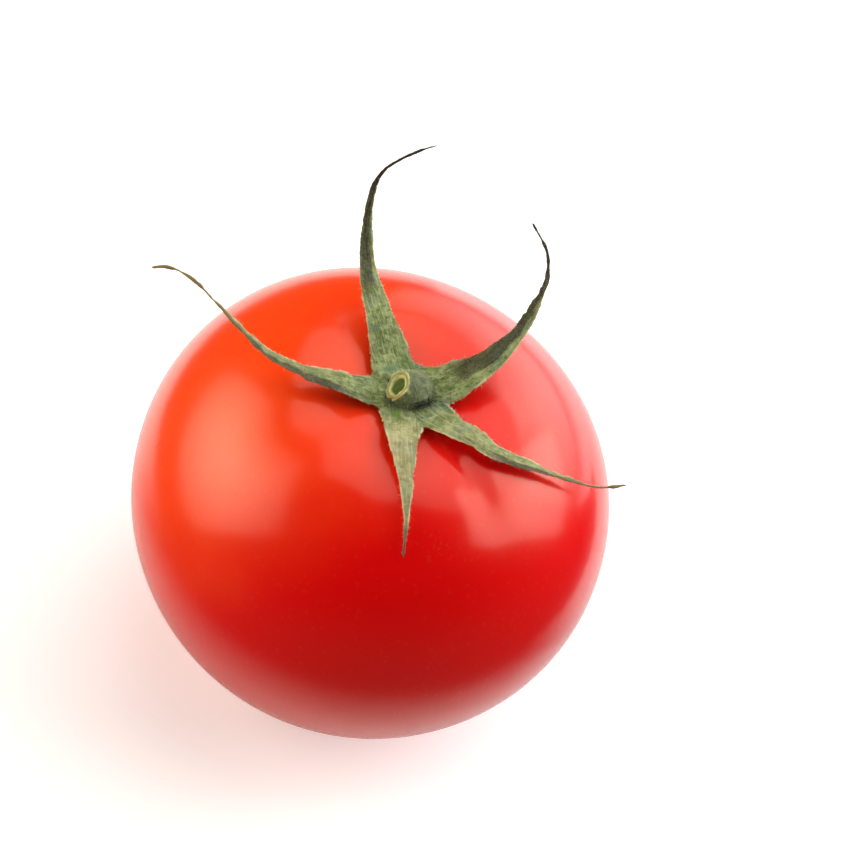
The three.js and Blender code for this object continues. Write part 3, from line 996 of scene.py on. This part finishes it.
# %% Make the sepal material
def sepal_tissue():
    """Matt, felted green with fine lines and a grain of bumps."""
    material, tree, place = new_material("sepal_tissue")
    lengthwise = add_node(tree, "ShaderNodeAttribute", attribute_name="grain").outputs["Vector"]
    lengthwise = add_node(tree, "ShaderNodeTexNoise", {"Vector": lengthwise, "Scale": 1.0})
    lengthwise = add_node(tree, "ShaderNodeBump", {"Height": lengthwise, "Distance": 0.2 * MM})
    felt = add_node(tree, "ShaderNodeTexNoise", {"Vector": place, "Scale": per_mm(0.4), "Detail": 3.0})
    felt = {"Height": felt, "Distance": 0.15 * MM, "Normal": lengthwise}
    tone = with_lines_and_specks(tree, place, mottled_green(tree, place))
    shader = add_node(tree, "ShaderNodeBsdfPrincipled", {
        "Base Color": with_layers(tree, tone), "Roughness": 0.7, "IOR": 1.4,
        "Specular IOR Level": 0.3, "Subsurface Weight": 0.12,
        "Subsurface Radius": (0.5, 1.0, 0.3), "Subsurface Scale": 0.6 * MM,
        "Sheen Weight": 0.08, "Sheen Roughness": 0.5, "Sheen Tint": colour("#dfe6c8"),
        "Normal": add_node(tree, "ShaderNodeBump", felt),
    })
    add_node(tree, "ShaderNodeOutputMaterial", {"Surface": shader})
    return material


calyx.data.materials.append(sepal_tissue())
print("tissue nodes:", len(calyx.active_material.node_tree.nodes))

# %% [markdown]
# ## Hairs
#
# Tomato greens are covered in short pale hairs, and they blur every edge of the calyx. Blender's
# hair curves aren't kept by an export, so each hair is a real sliver of mesh: three sides, a bend
# halfway and a point. All are made at once as arrays. They are 0.03 mm thick, about as thick as the
# largest real ones, because thinner ones would not show.

# %% Grow the hairs
HAIR_COUNT = 11000
HAIR_LENGTH = (0.2, 0.75)
HAIR_RADIUS = 0.014
HAIR_LEAN = 0.8
HAIR_ROOT = 0.05
HAIR_BEND = 0.55
HAIR_TAPER = 0.7
HAIR_SEED = 4


def make_hairs(base, normal, name):
    """Each hair starts at its base, leaves along the normal with a random lean, and droops a little."""
    random = np.random.default_rng(HAIR_SEED)
    count = len(base)
    direction = unit(normal + HAIR_LEAN * random.normal(size=(count, 3)))
    low, high = HAIR_LENGTH
    length = low + (high - low) * random.uniform(size=(count, 1)) ** 2
    side = unit(np.cross(direction, random.normal(size=(count, 3))))
    other = np.cross(direction, side)
    droop = unit(direction + 0.6 * side)
    turn = np.linspace(0.0, 2.0 * math.pi, 3, endpoint=False)
    ring = side[:, None] * np.cos(turn)[None, :, None] + other[:, None] * np.sin(turn)[None, :, None]
    start = base - HAIR_ROOT * normal
    middle = base + HAIR_BEND * length * direction
    points = np.concatenate([
        start[:, None] + HAIR_RADIUS * ring,
        middle[:, None] + HAIR_TAPER * HAIR_RADIUS * ring,
        (middle + (1.0 - HAIR_BEND) * length * droop)[:, None],
    ], axis=1)
    offset = 7 * np.arange(count)[:, None]
    quads = np.array([[0, 1, 4, 3], [1, 2, 5, 4], [2, 0, 3, 5]]).reshape(1, -1) + offset
    ends = np.array([[2, 1, 0], [3, 4, 6], [4, 5, 6], [5, 3, 6]]).reshape(1, -1) + offset
    faces = quads.reshape(-1, 4).tolist() + ends.reshape(-1, 3).tolist()
    mesh = bpy.data.meshes.new(name)
    mesh.from_pydata((points.reshape(-1, 3) * MM).tolist(), [], faces)
    hairs = bpy.data.objects.new(name, mesh)
    bpy.context.scene.collection.objects.link(hairs)
    return hairs


print("points for each hair: 7")

# %% [markdown]
# Hairs stand closest on the stub and along the edges of the sepals. They have worn off where the
# tissue is dry, they are fewer on the half of each blade painted in shade and in the painted shade
# round the stub's foot, and there are none on the cut or under the calyx.

# %% Choose where the hairs stand
BARE_RADIUS = 22.0


def hair_bases():
    """Random points of the calyx, drawn with a weight for each."""
    normals = mesh_normals(calyx)
    hidden = (normals[:, 2] < -0.3) & (np.hypot(spots[:, 0], spots[:, 1]) < BARE_RADIUS)
    weight = 1.0 + 1.5 * smooth_step(0.7, 0.95, share_across) + 4.0 * on_stub
    weight = weight * (1.0 - 0.8 * np.maximum(dry, shaded_half)) * (1.0 - 0.9 * crevice_shade)
    weight = weight * (1.0 - on_cut) * np.where(hidden, 0.0, 1.0)
    random = np.random.default_rng(HAIR_SEED + 1)
    chosen = random.choice(len(spots), HAIR_COUNT, replace=False, p=weight / weight.sum())
    return spots[chosen], normals[chosen]


base, normal = hair_bases()
print("hair bases:", len(base))

# %% Make the hairs
HAIR_LIGHT = "#b9be98"
HAIR_DARK = "#868c60"


def hair_material():
    """Clear pale hair cells: they let light through and look whitish against the green."""
    material, tree, place = new_material("plant_hair")
    cloud = add_node(tree, "ShaderNodeTexNoise", {"Vector": place, "Scale": per_mm(3.0)})
    tone = {"Factor": cloud, "A": colour(HAIR_LIGHT), "B": colour(HAIR_DARK)}
    shader = add_node(tree, "ShaderNodeBsdfPrincipled", {
        "Base Color": add_node(tree, "ShaderNodeMix", tone, **COLOURS), "Roughness": 0.5, "IOR": 1.4,
    })
    add_node(tree, "ShaderNodeOutputMaterial", {"Surface": shader})
    return material


hairs = make_hairs(base, normal, "calyx_hairs")
hairs.data.materials.append(hair_material())
print("hair triangles:", sum(len(face.vertices) - 2 for face in hairs.data.polygons))

# %% [markdown]
# ## Floor, light and background
#
# The fruit stands on a plain pale surface. A glossy fruit shows its surroundings as much as its own
# colour, so the light is built like a product shot. Places are given as the picture sees them, to
# the right, up and towards the camera, and are turned into the frame's directions.

# %% Helpers for the stage
def picture_point(right, up, near):
    """A point given in mm as the picture sees it from the middle of the fruit."""
    return (fruit_middle + picture_right * right + picture_up * up + towards * near) * MM


def soft_box(name, spot, size, brightness, spread, tint, upright):
    """A lamp aimed at the fruit, as wide and high as given, its height along the upright direction."""
    lamp = bpy.data.objects.new(name, bpy.data.lights.new(name, "AREA"))
    lamp.data.shape = "RECTANGLE"
    lamp.data.size = size[0] * MM
    lamp.data.size_y = size[1] * MM
    lamp.data.energy = brightness * math.pi * size[0] * size[1] * MM * MM
    lamp.data.spread = math.radians(spread)
    lamp.data.color = colour(tint)[:3]
    lamp.visible_camera = False
    back = unit(spot - picture_point(0.0, 0.0, 0.0))
    right = unit(np.cross(upright, back))
    turned = Matrix(np.stack([right, np.cross(back, right), back], 1)).to_4x4()
    lamp.matrix_world = Matrix.Translation(spot) @ turned
    bpy.context.scene.collection.objects.link(lamp)
    return lamp


print("the lamps aim at", fruit_middle)

# %% [markdown]
# The floor is paper that glows faintly, a painted light that lightens the shadow round the fruit. A
# second sheet lies just above it and is seen in reflections alone: it makes the pale rim round the
# lower edge of the fruit, and its paint fades to black in front, a painted fall-off of the light on a
# table, so that the rim runs softly into the red. A third one glows faintly and closes the rim at the
# upper right.

# %% Lay the sheets
FADE_FROM = 42.0
FADE_TO = 80.0
FADE_BEHIND = (-30.0, 20.0)
FLOOR_CORNERS = [(-3000, -3000), (3000, -3000), (3000, 3000), (-3000, 3000)]
MIRRORED_CORNERS = [
    (-84, -20), (-84, -84), (84, -84), (80, -20), (92, 40), (170, 260), (-30, 260), (-95, 120), (-92, 20),
]
LIT_CORNERS = [(0, 140), (62, 132), (104, 118), (140, 96), (430, 200), (430, 560), (0, 560)]


def front_fade(tree, place, tint):
    """The tint near the fruit and behind it, fading to black in front as painted fall-off of light."""
    away = add_node(tree, "ShaderNodeVectorMath", {0: place}, operation="LENGTH").outputs["Value"]
    away = {"Value": away, "From Min": FADE_FROM * MM, "From Max": FADE_TO * MM, "To Min": 1.0, "To Max": 0.0}
    away = add_node(tree, "ShaderNodeMapRange", away, **EASED)
    behind = add_node(tree, "ShaderNodeSeparateXYZ", {"Vector": place}).outputs["Y"]
    behind = {"Value": behind, "From Min": FADE_BEHIND[0] * MM, "From Max": FADE_BEHIND[1] * MM}
    behind = add_node(tree, "ShaderNodeMapRange", behind, **EASED)
    share = add_node(tree, "ShaderNodeMath", {0: away, 1: behind}, operation="MAXIMUM")
    black = colour("#000000")
    return add_node(tree, "ShaderNodeMix", {"Factor": share, "A": black, "B": colour(tint)}, **COLOURS)


def paper_sheet(name, corners, height, tint, glow=0.0, fades=False):
    """A flat sheet of matt paper with those corners, at a height, all in mm, glowing as strongly as given."""
    mesh = bpy.data.meshes.new(name)
    points = [(x * MM, y * MM, height * MM) for x, y in corners]
    mesh.from_pydata(points, [], [tuple(range(len(points)))])
    sheet = bpy.data.objects.new(name, mesh)
    bpy.context.scene.collection.objects.link(sheet)
    material, tree, place = new_material("paper_" + name)
    paint = front_fade(tree, place, tint) if fades else colour(tint)
    shader = {"Base Color": paint, "Roughness": 0.9}
    shader = {**shader, "Emission Color": colour(tint), "Emission Strength": glow}
    shader = add_node(tree, "ShaderNodeBsdfPrincipled", shader)
    add_node(tree, "ShaderNodeOutputMaterial", {"Surface": shader})
    mesh.materials.append(material)
    return sheet


# the floor glows faintly: painted light that lightens the fruit's shadow on it
floor = paper_sheet("floor", FLOOR_CORNERS, 0.0, "#f4f4f3", 0.3)
floor.visible_glossy = False
mirrored = paper_sheet("mirrored_sheet", MIRRORED_CORNERS, 0.05, "#efefed", 0.0, True)
lit = paper_sheet("lit_sheet", LIT_CORNERS, 0.1, "#ffffff", 0.45)
for sheet in (mirrored, lit):
    sheet.visible_camera = False
    sheet.visible_diffuse = False
    sheet.visible_shadow = False
print("sheets:", floor.name, mirrored.name, lit.name)

# %% [markdown]
# Four large soft boxes light the fruit. The left and the right one make the two big highlights: the
# orange patch on the left shoulder and the pink one on the right, whose lower edge is straight. The
# one at the back makes the bright upper rim, and the one overhead fills the top.

# %% Place the lamps
WORLD_UP = (0.0, 0.0, 1.0)
WORLD_NORTH = (0.0, 1.0, 0.0)
back_spot = np.array([200.0, 330.0, 175.0]) * MM
over_spot = np.array([40.0, 145.0, 400.0]) * MM
soft_box("left_box", picture_point(-355, 160, 150), (560, 480), 1.06, 80, "#fff3e2", picture_up)
soft_box("right_box", picture_point(395, 96, 128), (420, 300), 1.0, 90, "#ffffff", picture_up)
soft_box("back_box", back_spot, (640, 330), 0.84, 90, "#ffffff", WORLD_UP)
soft_box("over_box", over_spot, (460, 440), 0.7, 110, "#ffffff", WORLD_NORTH)

# %% [markdown]
# The surroundings are white to the camera, but dim in reflections, so that the front of the fruit
# stays a deep, clear red. A little more light falls on matt surfaces, which keeps shadows soft.

# %% Light the surroundings
WHITE_TO_CAMERA = 0.9
DIM_GLOW = 0.012
SOFT_FILL = 0.15

world = bpy.data.worlds.new("dim_studio")
world.use_nodes = True
sky = world.node_tree
sky.nodes.clear()
seen = add_node(sky, "ShaderNodeLightPath")
glow = {"Value": seen.outputs["Is Camera Ray"], "To Min": DIM_GLOW, "To Max": WHITE_TO_CAMERA}
glow = add_node(sky, "ShaderNodeMapRange", glow)
glow = {0: seen.outputs["Is Diffuse Ray"], 1: SOFT_FILL, 2: glow}
glow = add_node(sky, "ShaderNodeMath", glow, operation="MULTIPLY_ADD")
sky_light = add_node(sky, "ShaderNodeBackground", {"Color": colour("#ffffff"), "Strength": glow})
add_node(sky, "ShaderNodeOutputWorld", {"Surface": sky_light})
bpy.context.scene.world = world
bpy.context.scene.view_settings.view_transform = "Standard"
print("view transform:", bpy.context.scene.view_settings.view_transform)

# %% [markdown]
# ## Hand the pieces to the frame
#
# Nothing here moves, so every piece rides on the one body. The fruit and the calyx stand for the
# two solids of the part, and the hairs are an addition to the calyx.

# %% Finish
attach(fruit, "root")
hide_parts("fruit")
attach(calyx, "root")
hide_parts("calyx")
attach(hairs, "root")
